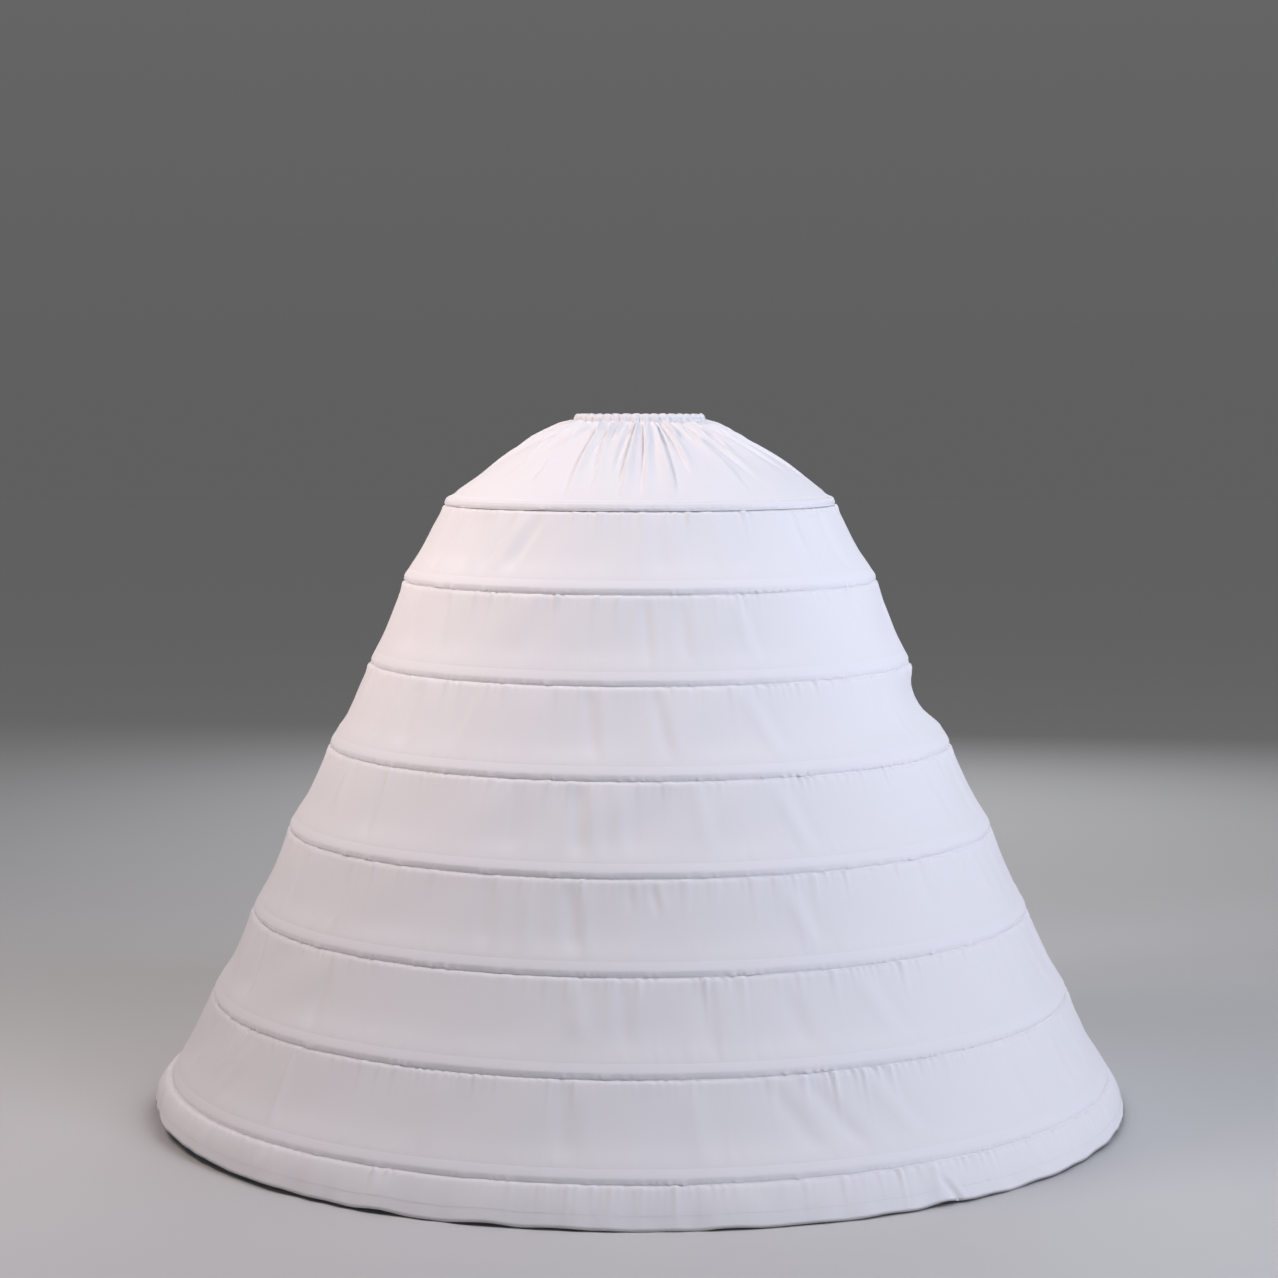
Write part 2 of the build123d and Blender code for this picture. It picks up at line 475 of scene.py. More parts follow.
def ring_mesh(name, points, across, down):
    """A closed ring of cloth from rows of points, with a cloth map in metres, facing outwards."""
    rows, columns = points.shape[:2]
    row, column = np.meshgrid(np.arange(rows - 1), np.arange(columns), indexing="ij")
    after = (column + 1) % columns
    corners = [(row, column), (row + 1, column), (row + 1, after), (row, after)]
    faces = np.stack([r * columns + c for r, c in corners], axis=-1).reshape(-1, 4)

    mesh = bpy.data.meshes.new(name)
    mesh.vertices.add(rows * columns)
    mesh.vertices.foreach_set("co", points.reshape(-1).astype(np.float32))
    mesh.loops.add(faces.size)
    mesh.loops.foreach_set("vertex_index", faces.reshape(-1).astype(np.int32))
    mesh.polygons.add(len(faces))
    mesh.polygons.foreach_set("loop_start", np.arange(0, faces.size, 4, dtype=np.int32))
    mesh.update(calc_edges=True)
    mesh.polygons.foreach_set("use_smooth", np.ones(len(faces), bool))

    step = across / columns
    u = np.stack([column, column, column + 1, column + 1], axis=-1) * step
    v = np.stack([down[row], down[row + 1], down[row + 1], down[row]], axis=-1)
    layer = mesh.uv_layers.new(name="cloth")
    layer.data.foreach_set("uv", np.stack([u, -v], axis=-1).reshape(-1).astype(np.float32))
    mesh.validate()
    piece = bpy.data.objects.new(name, mesh)
    bpy.context.scene.collection.objects.link(piece)
    return piece


def bell_noise(angle, slowest, fastest, seed):
    """A smooth wave round the bell that closes on itself, about -1 to 1."""
    draw = np.random.default_rng(seed)
    counts = np.arange(slowest, fastest + 1)
    phases = draw.uniform(0, TURN, len(counts))
    sizes = draw.uniform(0.4, 1.0, len(counts))
    waves = sizes[:, None] * np.cos(counts[:, None] * angle.reshape(1, -1) + phases[:, None])
    return (waves.sum(0) / math.sqrt((sizes ** 2).sum() / 2) / 2).reshape(angle.shape)


def smooth(value, low, high):
    """0 below low, 1 above high, and a smooth step between."""
    t = np.clip((value - low) / (high - low), 0, 1)
    return t * t * (3 - 2 * t)


def wrapped(angle):
    """An angle brought to -180..180 degrees, in radians."""
    return (angle + math.pi) % TURN - math.pi


def fold(angle, share, radius, at, lean, width, depth, span=(0.0, 1.0)):
    """One soft fold of cloth, in metres off the surface.

    at is where it crosses the middle of the band and lean how far it drifts from top to bottom,
    in degrees. width and depth are in mm. span is the stretch of the band that it fills.
    A fold is a rounded rise with a shallower dip along one side.
    """
    centre = math.radians(at) + math.radians(lean) * (share - 0.5)
    across = wrapped(angle - centre) * radius / (width * MM)
    shape = np.exp(-across ** 2) - 0.45 * np.exp(-(across - 1.7) ** 2)
    low, high = span
    ease = (high - low) * 0.3
    shown = smooth(share, low - 0.02, low + ease) * (1 - smooth(share, high - ease, high + 0.02))
    return depth * MM * shape * shown


# Folds that are placed one by one across the front: at, lean, width, depth, span.
FRONT_FOLDS = {
    "tier_1": [
        (-31, -9, 9, -3.6, (0.05, 1.0)), (-39.5, -8, 8, -3.0, (0.1, 1.0)), (-35, -9, 8, 2.2, (0.0, 0.95)),
        (5, 2, 14, -1.5, (0.2, 1.0)), (21, 3, 16, 1.2, (0.0, 0.9)),
    ],
    "tier_2": [
        (1.5, 1, 8, -2.2, (0.0, 1.0)), (9.5, 1.5, 10, -2.0, (0.1, 1.0)), (23, 4, 11, 1.6, (0.0, 0.9)),
        (-27, -3, 14, 1.0, (0.0, 0.7)),
    ],
    "tier_3": [
        (-36, -4, 12, -1.8, (0.0, 0.8)), (-9, 2, 11, -3.2, (0.0, 1.0)), (4, 3, 11, -2.2, (0.0, 1.0)),
        (23, 7, 14, 2.0, (0.05, 1.0)), (-20, -1, 16, 1.4, (0.1, 0.9)),
    ],
    "tier_4": [
        (-9.8, 1, 13, -3.6, (0.0, 1.0)), (-20.5, 0.5, 15, -2.0, (0.0, 1.0)), (10, 2, 13, 1.6, (0.0, 0.9)),
        (25, 5, 14, 2.2, (0.05, 1.0)), (-3, 0, 12, 1.6, (0.1, 0.9)),
    ],
    "tier_5": [
        (-22.5, 1, 13, -2.0, (0.0, 0.9)), (-9.5, 1.5, 12, -3.4, (0.05, 1.0)), (-1.4, 0, 6, -2.2, (-0.1, 0.4)),
        (2.7, 2.5, 6, -2.4, (-0.1, 0.45)), (23, 4, 14, 2.2, (0.15, 1.0)), (-16, 0, 12, 1.6, (0.1, 1.0)),
    ],
    "tier_6": [
        (-8, 1, 15, 2.2, (0.05, 0.7)), (8.5, 1, 16, -1.6, (0.0, 1.0)), (20, 4, 17, -1.6, (0.15, 1.0)),
        (32, 6, 18, 1.7, (0.0, 0.9)), (-2, 0, 12, -1.8, (0.0, 0.8)),
    ],
    "tier_7": [
        (17.8, 7, 17, -1.7, (0.05, 0.95)), (23, 8, 16, -2.0, (0.0, 0.95)), (30.5, 7, 17, 1.7, (0.0, 0.9)),
        (-8.5, 0.5, 18, -1.8, (0.0, 1.0)), (6.3, 1, 18, 1.6, (0.1, 1.0)), (-24, -1, 20, 1.4, (0.1, 0.9)),
    ],
    "hem_flounce": [
        (33.8, 3.4, 7, -4.2, (0.35, 1.3)), (-28, 0, 16, 2.0, (0.2, 1.4)), (12, 1, 18, 1.8, (0.1, 1.4)),
    ],
}
FREE_FOLD_SPACING = 0.135           # metres round the bell between two free folds
FRONT_HALF = 44.0                   # degrees each side of the front centre, kept for the placed folds


def free_folds(name, radius, seed):
    """Folds for the sides and the back, scattered evenly with a fixed seed."""
    draw = np.random.default_rng(seed + sum(name.encode()))
    count = int(TURN * radius / FREE_FOLD_SPACING)
    folds = []
    for index in range(count):
        at = -180 + 360 * (index + draw.uniform(0.1, 0.9)) / count
        lean = draw.normal(0, 2.2) + 2.5 * math.sin(math.radians(at))
        width = draw.uniform(9, 19)
        depth = draw.uniform(1.0, 3.2) * draw.choice([-1, 1])
        low = draw.choice([-0.1, 0.0, 0.15])
        high = draw.choice([0.7, 0.95, 1.1])
        if abs(at) > FRONT_HALF:
            folds.append((at, lean, width, depth, (low, high)))
    return folds


def puckers(angle, distance, radius, depth, spacing, seed):
    """Short creases under a stitched edge, deepest at the edge and gone within a few centimetres.

    distance is in metres from the edge.
    """
    count = int(TURN * radius / spacing)
    ripple = bell_noise(angle, int(count * 0.6), int(count * 1.3), seed)
    patches = smooth(bell_noise(angle, 4, 26, seed + 1), -0.6, 0.9)
    long_ones = smooth(bell_noise(angle, int(count * 0.25), int(count * 0.5), seed + 2), 0.1, 0.9)
    reach = (7 + 16 * long_ones) * MM
    fade = smooth(distance, -1 * MM, 3 * MM) * np.exp(-np.clip(distance, 0, None) / reach)
    return depth * (ripple * (0.45 + patches) + 1.1 * long_ones) * fade


CASING_LOW = 9.8 * MM               # where the cloth comes out from under the casing above it
CASING_TOP = 15.0 * MM              # how far above its lower seam the cloth meets the next casing
TUCKED_IN = 2.0 * MM                # how far the cloth behind a seam lies inside the cloth before it
PUFF = 2.1 * MM                     # how far the cloth springs out just under a casing
SWELL = 3.1 * MM                    # how far a hoop pushes out the cloth just above it
UNDER_HOOP = 1.4 * MM               # how far off its straight line the cloth runs behind a hoop
HEAD_ROWS = np.array([-7.0, -3.0, 1.0, 5.0, 8.0, 9.5, 11.0, 12.5, 14.5, 17.0, 20.5]) * MM
FOOT_ROWS = np.array([22.0, 14.0, 10.0, 5.0, 0.0]) * MM
# Folds are drawn flat near a seam: none at the first distance from it, all of them at the second.
FLAT_UNDER_CASING = (6 * MM, 34 * MM)
FLAT_OVER_HOOP = (13 * MM, 46 * MM)
PUCKERS_UNDER_CASING = 1.5          # depth of the puckers in the cloth, as a share of Pucker Depth
PUCKERS_OVER_HOOP = 0.4


def row_places(length, rows):
    """Distances down a band, closer together at both seams."""
    body = np.linspace(HEAD_ROWS[-1], length - FOOT_ROWS[0], rows + 2)[1:-1]
    return np.concatenate([HEAD_ROWS, body, length - FOOT_ROWS])


def seam_relief(distance):
    """How the cloth leaves the seam above it: tucked under the casing, then springing out."""
    tuck = TUCKED_IN * (1 - smooth(distance, 9 * MM, 13.5 * MM))
    puff = PUFF * smooth(distance, 9 * MM, 18 * MM) * (1 - smooth(distance, 30 * MM, 110 * MM))
    return puff - tuck


def swell(distance):
    """How the cloth bends out over a hoop, and back in behind it, by its distance above the seam."""
    behind = (SWELL - UNDER_HOOP) * (1 - smooth(distance, 4 * MM, 12 * MM))
    return SWELL * np.exp(-np.clip(distance - 12 * MM, 0, None) / (28 * MM)) - behind


def tier_surface(name, top, foot, settings, columns, seed):
    """Points of one tier: a cone between two seams, sunk a little, with its folds and puckers."""
    length = float(np.linalg.norm(foot - top))
    line = unit(foot - top)
    out = outward(line)
    down = row_places(length, settings.cloth.rows)
    angle = around(columns)[None, :]
    distance = down[:, None] + np.zeros_like(angle)
    share = distance / length
    radius = top[0] + line[0] * distance

    depth = settings.cloth.fold_depth
    off = -settings.cloth.hollow * np.sin(math.pi * np.clip(share, 0, 1))
    for placed in FRONT_FOLDS[name] + free_folds(name, foot[0], settings.cloth.seed):
        at, lean, width, size, span = placed
        off = off + fold(angle, share, radius, at, lean, width, size * depth, span)
    body = np.sin(math.pi * np.clip(share, 0, 1))
    off = off + 1.6 * MM * depth * bell_noise(angle + 0.25 * share, 3, 22, seed) * body
    off = off * smooth(length - distance, *FLAT_OVER_HOOP) * smooth(distance, *FLAT_UNDER_CASING)
    off = off + seam_relief(distance) + swell(length - distance)

    spacing = settings.casing.pucker_spacing
    below = distance - CASING_LOW
    depth = settings.casing.pucker_depth * PUCKERS_UNDER_CASING
    off = off + puckers(angle, below, top[0], depth, spacing, seed + 40)
    above = length - distance - CASING_TOP
    depth = settings.casing.pucker_depth * PUCKERS_OVER_HOOP
    off = off + puckers(angle, above, foot[0], depth, spacing * 1.6, seed + 60)
    points = turned(angle, radius + out[0] * off, top[1] + line[1] * distance + out[1] * off)
    return points, down


SIDE_HOLLOW = ("tier_3", 86.0, 38.0, 15.0)      # tier, where, half width in degrees, depth in mm
SIDE_EASE_TOP = (12 * MM, 50 * MM)  # distances from the seam above between which it deepens
SIDE_EASE_FOOT = (14 * MM, 54 * MM)


def sink_side(points, down, length):
    """Presses one tier in on the wearer's left, where its cloth hangs slack between two hoops."""
    _, at, spread, depth = SIDE_HOLLOW
    angle = np.arctan2(points[..., 0], -points[..., 1])
    across = wrapped(angle - math.radians(at)) / math.radians(spread)
    share = np.clip(down / length, 0, 1)[:, None]
    between = smooth(down, *SIDE_EASE_TOP) * smooth(length - down, *SIDE_EASE_FOOT)
    pressed = depth * MM * np.exp(-across ** 2) * np.sin(math.pi * share) ** 1.3 * between[:, None]
    points[..., 0] -= pressed * np.sin(angle)
    points[..., 1] += pressed * np.cos(angle)
    return points


def declare_band(piece, node):
    """Rides a band of cloth on the cage and hides the frame's part for that band."""
    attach(piece, "root")
    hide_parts(node)


# ---------------------------------------------------------------- the yoke

YOKE_COLUMNS = 840
YOKE_ROWS = 58
YOKE_CROWN = 10.0 * MM              # how far the yoke rounds out from a straight cone
GATHER_COUNT = 40
# Long gathers placed one by one: degrees at the waist, degrees at the first hoop, reach, width, depth.
LONG_GATHERS = [
    (-62, -52, 0.7, 11, 3.6), (-47, -37, 0.85, 10, 3.0), (-33, -22, 0.95, 8, 4.6), (-24, -14, 0.9, 7, 3.4),
    (-10, -11, 0.7, 9, -2.6), (-1.5, -5.7, 0.97, 7, 5.2), (6.5, 1.4, 0.95, 7, 4.6), (12, 10.2, 0.97, 7, -4.6),
    (19, 19, 0.7, 7, 4.4), (28, 36, 0.85, 9, -4.2), (38, 46, 0.75, 9, 3.8), (52, 60, 0.8, 11, -3.2),
    (66, 71, 0.7, 11, 3.2),
]
LONG_GATHER_FREE = 18               # more of them round the sides and the back


def gather_plan(seed):
    """Every gather: its angle at the waist and at the first hoop, its reach, width and depth."""
    draw = np.random.default_rng(seed)
    short = []
    for index in range(GATHER_COUNT):
        at = -180 + 360 * (index + 0.5 + draw.uniform(-0.2, 0.2)) / GATHER_COUNT
        short.append((at, at + draw.normal(0, 1.5), draw.uniform(0.18, 0.5), 5.2, draw.uniform(3.0, 5.0)))
    long = list(LONG_GATHERS)
    for index in range(LONG_GATHER_FREE):
        at = 78 + 204 * (index + draw.uniform(0.2, 0.8)) / LONG_GATHER_FREE
        reach = draw.uniform(0.6, 0.97)
        depth = draw.uniform(2.8, 4.8) * draw.choice([-1, 1])
        long.append((at, at + draw.normal(0, 5), reach, draw.uniform(7, 11), depth))
    return short, long


def yoke_gathers(angle, share, radius, plan):
    """How far the gathers stand off the yoke, in metres: crowded at the waist, fewer lower down."""
    off = np.zeros(np.broadcast(angle, share).shape)
    short, long = plan
    for at, to, reach, width, depth in short + long:
        start, end = WAIST_RADIUS * (1 - share), SEAMS[0].place[0] * share
        centre = np.radians((start * at + end * to) / (start + end))
        spread = width * MM * (0.55 + 0.8 * share)
        across = wrapped(angle - centre) * radius / spread * math.copysign(1, depth)
        steep = np.where(across < 0, across / 0.4, across / 1.3)
        shape = np.exp(-steep ** 2) - 0.55 * np.exp(-((across + 0.85) / 0.4) ** 2)
        fade = (1 - smooth(share, reach * 0.6, reach * 1.08)) * (0.55 + 0.45 * smooth(share, 0.0, 0.12))
        off = off + 1.35 * abs(depth) * MM * shape * fade
    return off


def channel_ruffle(angle, plan):
    """The bumps of the waist channel, 0 in the creases and 1 on the crests, one for each gather."""
    centres = np.radians(sorted(gather[0] for gather in plan[0]))
    gaps = np.abs(wrapped(angle[..., None] - centres))
    nearest = np.sort(gaps, axis=-1)[..., :2]
    crest = 1 - smooth(nearest[..., 0] / (nearest[..., 0] + nearest[..., 1]), 0.15, 0.5) ** 1.3
    return crest * (0.8 + 0.3 * bell_noise(angle, 5, 28, 37))


def channel_section():
    """The channel's walls from the inner edge, over the top, down to the stitch line.

    Each row is a radius, a height, and how much the ruffle moves it out and up, in metres.
    """
    low = ELASTIC_LOW.z - 1.2 * MM
    top = WAIST_TOP
    inner = WAIST_RADIUS + 0.3 * MM
    outer = ELASTIC_HIGH.x + 0.9 * MM
    middle = (inner + outer) / 2
    return np.array([
        (inner + 1.0 * MM, low - 1.5 * MM, 0.0, 0.0),
        (inner + 0.3 * MM, low + 1.0 * MM, 0.1 * MM, 0.0),
        (inner, low + 4.5 * MM, 0.5 * MM, 0.0),
        (inner, top - 4.0 * MM, 0.8 * MM, 0.2 * MM),
        (inner + 0.3 * MM, top - 1.8 * MM, 1.0 * MM, 0.8 * MM),
        (inner + 0.9 * MM, top - 0.8 * MM, 1.0 * MM, 1.5 * MM),
        (middle - 0.2 * MM, top - 0.6 * MM, 1.4 * MM, 1.8 * MM),
        (outer - 1.0 * MM, top - 1.2 * MM, 2.2 * MM, 1.6 * MM),
        (outer - 0.2 * MM, top - 2.4 * MM, 3.4 * MM, 1.0 * MM),
        (outer + 0.2 * MM, top - 4.6 * MM, 4.6 * MM, 0.4 * MM),
        (outer + 0.5 * MM, low + 5.0 * MM, 5.2 * MM, 0.0),
        (outer + 0.9 * MM, low + 3.0 * MM, 5.2 * MM, 0.0),
        (outer + 1.3 * MM, low + 1.4 * MM, 4.6 * MM, 0.0),
        (outer + 1.8 * MM, low + 0.2 * MM, 4.2 * MM, 0.0),
    ])


def yoke_surface(plan, settings):
    """Points of the whole yoke: the folded channel, then the gathered cone down to the first hoop."""
    angle = around(YOKE_COLUMNS)[None, :]
    section = channel_section()
    ruffle = channel_ruffle(angle[0], plan)[None, :]
    channel = turned(
        angle,
        section[:, 0:1] + section[:, 2:3] * ruffle,
        section[:, 1:2] + section[:, 3:4] * ruffle,
    )
    start = section[-1, :2]
    foot = SEAMS[0].place
    chord = unit(foot - start)
    length = float(np.linalg.norm(foot - start))
    out = outward(chord)
    down = length * (np.linspace(0, 1, YOKE_ROWS + 1)[1:] ** 1.25)
    share = (down / length)[:, None]
    crown = 4 * YOKE_CROWN * share * (1 - share)
    radius = start[0] + chord[0] * down[:, None]
    spring = 1.2 * MM * (1 - np.exp(-down[:, None] / (7 * MM))) * np.exp(-down[:, None] / 0.07)
    gathers = yoke_gathers(angle, share, radius, plan) * settings.cloth.fold_depth
    meet = ruffle * section[-1, 2] * np.exp(-down[:, None] / (16 * MM))
    sunk = 3.2 * MM * np.exp(-share / 0.25)
    off = crown + spring + (gathers - sunk) * smooth(down[:, None], -1 * MM, 7 * MM)
    off = off + 1.2 * MM * bell_noise(angle + 0.3 * share, 3, 18, 5) * np.sin(math.pi * share)
    off = off * smooth(length - down[:, None], 9 * MM, 24 * MM)
    off = off + meet + swell(length - down[:, None])
    cone = turned(angle, radius + out[0] * off, start[1] + chord[1] * down[:, None] + out[1] * off)
    points = np.concatenate([channel, cone])
    steps = np.linalg.norm(np.diff(section[:, :2], axis=0), axis=1)
    along = np.concatenate([[0], np.cumsum(steps)])
    return points, np.concatenate([along, along[-1] + down])


# ---------------------------------------------------------------- the hem flounce

HEM_TURN_UP = 20.0 * MM
HEM_WAVE = 2.8 * MM                 # how far the lower edge swings in and out
HEM_FLARE = 2.0 * MM                # how far the flounce springs out from a straight line
# Where the hem kicks up off the floor: degrees from the front, half width in degrees, mm.
HEM_LIFTS = [(-88, 40, 20), (84, 22, 6), (-150, 20, 5), (160, 25, 7), (34, 3, 3)]


def flounce_surface(columns, settings):
    """Points of the hem flounce: down to the floor, round its folded edge, and up the inside."""
    top = SEAMS[-1].place
    foot = np.array([HEM_RADIUS, 0.6 * MM])
    length = float(np.linalg.norm(foot - top))
    line = unit(foot - top)
    out = outward(line)
    outer = np.concatenate([HEAD_ROWS, np.linspace(HEAD_ROWS[-1], length, 11)[1:]])
    inner = length - HEM_TURN_UP * np.linspace(0, 1, 6)[1:]
    down = np.concatenate([outer, inner])
    behind = np.concatenate([np.zeros(len(outer)), [0.5], np.ones(len(inner) - 1)])

    angle = around(columns)[None, :]
    distance = down[:, None] + np.zeros_like(angle)
    share = np.clip(distance / length, 0, 1)
    radius = top[0] + line[0] * distance
    swing = bell_noise(angle, 7, 30, 71) + 0.5 * bell_noise(angle, 40, 110, 72)
    off = HEM_WAVE * swing * smooth(share, 0.15, 1.1) + HEM_FLARE * 4 * share * (1 - share)
    for at, lean, width, depth, span in FRONT_FOLDS["hem_flounce"] + free_folds("hem", HEM_RADIUS, 3):
        off = off + fold(angle, share, radius, at, lean, width, depth * 0.8, span) * smooth(share, 0.1, 0.6)
    below = distance - CASING_LOW
    spacing = settings.casing.pucker_spacing
    off = off + seam_relief(distance) * 0.8
    depth = settings.casing.pucker_depth * PUCKERS_UNDER_CASING
    off = off + puckers(angle, below, top[0], depth, spacing, 91)
    stitched = np.exp(-((distance - (length - HEM_TURN_UP)) / (2.5 * MM)) ** 2)
    tug = puckers(angle, np.full_like(angle, 3.5 * MM), HEM_RADIUS, 0.6 * MM, spacing * 1.3, 97)
    off = off + (tug - 0.4 * MM) * stitched
    off = off - behind[:, None] * 1.2 * MM
    lift = 1.6 * MM * (1 + bell_noise(angle, 5, 60, 83))
    for at, spread, rise in HEM_LIFTS:
        lift = lift + rise * MM * np.exp(-(wrapped(angle - math.radians(at)) / math.radians(spread)) ** 2)
    off = off + 0.35 * lift * np.sin(math.pi * share ** 0.7)
    height = top[1] + line[1] * distance + out[1] * off + lift * share ** 1.4
    points = turned(angle, radius + out[0] * off, np.maximum(height, 0.3 * MM))
    return points, np.concatenate([outer, 2 * length - inner]), length


# ---------------------------------------------------------------- casings, by geometry nodes

# Section of a casing in mm: below the seam, off the cloth, and how freely it puckers.
# It comes out of the cloth above, runs over the hoop and down an upright face, and turns in.
CASING_SECTION = [
    (-16.0, 2.4, 0.0), (-13.5, 2.8, 0.0), (-11.0, 3.2, 0.0), (-8.0, 3.6, 0.0), (-5.0, 3.95, 0.0),
    (-2.0, 4.25, 0.0), (0.5, 4.45, 0.0), (2.0, 4.2, 0.4), (3.5, 3.5, 0.8), (5.0, 2.7, 1.0),
    (6.5, 1.9, 1.0), (7.5, 1.3, 0.8), (8.2, 0.2, 0.5), (8.9, -0.9, 0.2), (9.8, -2.0, 0.1),
]
CASING_CREST = 4.45
STITCH_PLACE = (6.8, 1.95)          # the stitch line on that section, in the same mm
STITCH_POINTS = 360                 # points of the closed line that a row of stitches follows
TAPE_PUCKERS = 1.9                  # depth of the tape's puckers, as a share of Pucker Depth
NOISE_CROWDING = 2.2                # how much closer the noise is drawn than the puckers it makes
NOISE_STEP = 7.3                    # how far apart the casings lie in the noise
SLEEVE_HALF = 26.0 * MM             # half the length of tape that a hoop's sleeve lifts
THREAD_LIFT = 0.4 * MM              # how far the thread lies off the cloth


def casing_tree():
    """Turns a casing's section round the bell, and puckers its stitched edge."""
    tree, given, result = group_tree(
        "casing_round_hoop",
        "GeometryNodeTree",
        [
            ("Section", "NodeSocketGeometry", None),
            ("Columns", "NodeSocketInt", 600),
            ("Waves", "NodeSocketFloat", 60.0),
            ("Pucker Depth", "NodeSocketFloat", 0.001),
            ("Seed", "NodeSocketFloat", 0.0),
            ("Sleeve Bulge", "NodeSocketFloat", 0.0008),
            ("Sleeve Half Turn", "NodeSocketFloat", 0.03),
            ("Material", "NodeSocketMaterial", None),
        ],
        [("Casing", "NodeSocketGeometry")],
    )
    size = add_node(tree, "GeometryNodeAttributeDomainSize")
    wire(tree, given.outputs["Section"], size.inputs[0])
    rows = size.outputs["Point Count"]
    grid = add_node(tree, "GeometryNodeMeshGrid", {"Size X": 1.0, "Size Y": 1.0})
    wire(tree, maths(tree, "ADD", given.outputs["Columns"], 1.0), grid.inputs["Vertices X"])
    wire(tree, rows, grid.inputs["Vertices Y"])

    index = add_node(tree, "GeometryNodeInputIndex")
    column = maths(tree, "FLOOR", maths(tree, "DIVIDE", maths(tree, "ADD", index.outputs[0], 0.5), rows))
    row = maths(tree, "SUBTRACT", index.outputs[0], maths(tree, "MULTIPLY", column, rows))
    turn = maths(tree, "DIVIDE", column, given.outputs["Columns"])
    angle = maths(tree, "MULTIPLY", maths(tree, "SUBTRACT", turn, 0.5), TURN)
    sine, cosine = maths(tree, "SINE", angle), maths(tree, "COSINE", angle)

    place = add_node(tree, "GeometryNodeSampleIndex", data_type="FLOAT_VECTOR", domain="POINT")
    looseness = add_node(tree, "GeometryNodeSampleIndex", data_type="FLOAT", domain="POINT")
    distance = add_node(tree, "GeometryNodeSampleIndex", data_type="FLOAT", domain="POINT")
    loose_name = add_node(tree, "GeometryNodeInputNamedAttribute", {"Name": "looseness"}, data_type="FLOAT")
    along_name = add_node(tree, "GeometryNodeInputNamedAttribute", {"Name": "along"}, data_type="FLOAT")
    position = add_node(tree, "GeometryNodeInputPosition")
    for sample, value in ((place, position), (looseness, loose_name), (distance, along_name)):
        wire(tree, given.outputs["Section"], sample.inputs["Geometry"])
        wire(tree, value, sample.inputs["Value"])
        wire(tree, row, sample.inputs["Index"])
    local = add_node(tree, "ShaderNodeSeparateXYZ")
    wire(tree, place, local.inputs[0])

    spot = add_node(tree, "ShaderNodeCombineXYZ")
    lean = maths(tree, "MULTIPLY", looseness.outputs["Value"], 0.8)
    leaning = maths(tree, "ADD", angle, maths(tree, "DIVIDE", lean, given.outputs["Waves"]))
    for operation, axis in (("SINE", "X"), ("COSINE", "Y")):
        value = maths(tree, "MULTIPLY", maths(tree, operation, leaning), given.outputs["Waves"])
        wire(tree, value, spot.inputs[axis])
    wire(tree, given.outputs["Seed"], spot.inputs["Z"])
    ripple = add_node(tree, "ShaderNodeTexNoise", {"Scale": 1.0, "Detail": 1.0})
    wire(tree, spot, ripple.inputs["Vector"])
    crease = maths(tree, "MULTIPLY", maths(tree, "SUBTRACT", ripple.outputs["Fac"], 0.45), 5.0)
    patch_spot = add_node(tree, "ShaderNodeVectorMath", operation="SCALE")
    patch_spot.inputs["Scale"].default_value = 0.09
    wire(tree, spot, patch_spot.inputs[0])
    patches = add_node(tree, "ShaderNodeTexNoise", {"Scale": 1.0, "Detail": 1.0})
    wire(tree, patch_spot, patches.inputs["Vector"])
    tight = maths(tree, "MULTIPLY", maths(tree, "SUBTRACT", patches.outputs["Fac"], 0.3), 3.2, True)
    crease = maths(tree, "MULTIPLY", maths(tree, "MAXIMUM", crease, 0.0), tight)
    pucker = maths(tree, "MULTIPLY", crease, given.outputs["Pucker Depth"])
    pucker = maths(tree, "MULTIPLY", pucker, looseness.outputs["Value"])

    past = maths(tree, "SUBTRACT", math.pi, maths(tree, "ABSOLUTE", angle))
    near = maths(tree, "SUBTRACT", 1.0, maths(tree, "DIVIDE", past, given.outputs["Sleeve Half Turn"]), True)
    crest = maths(tree, "SUBTRACT", 1.0, looseness.outputs["Value"])
    bulge = maths(tree, "MULTIPLY", maths(tree, "MULTIPLY", near, crest), given.outputs["Sleeve Bulge"])

    pushed = maths(tree, "MULTIPLY", pucker, 0.6)
    radius = maths(tree, "ADD", maths(tree, "ADD", local.outputs["X"], pushed), bulge)
    point = add_node(tree, "ShaderNodeCombineXYZ")
    wire(tree, maths(tree, "MULTIPLY", radius, sine), point.inputs["X"])
    wire(tree, maths(tree, "MULTIPLY", maths(tree, "MULTIPLY", radius, cosine), -1.0), point.inputs["Y"])
    dropped = maths(tree, "MULTIPLY", pucker, 0.9)
    wire(tree, maths(tree, "SUBTRACT", local.outputs["Z"], dropped), point.inputs["Z"])

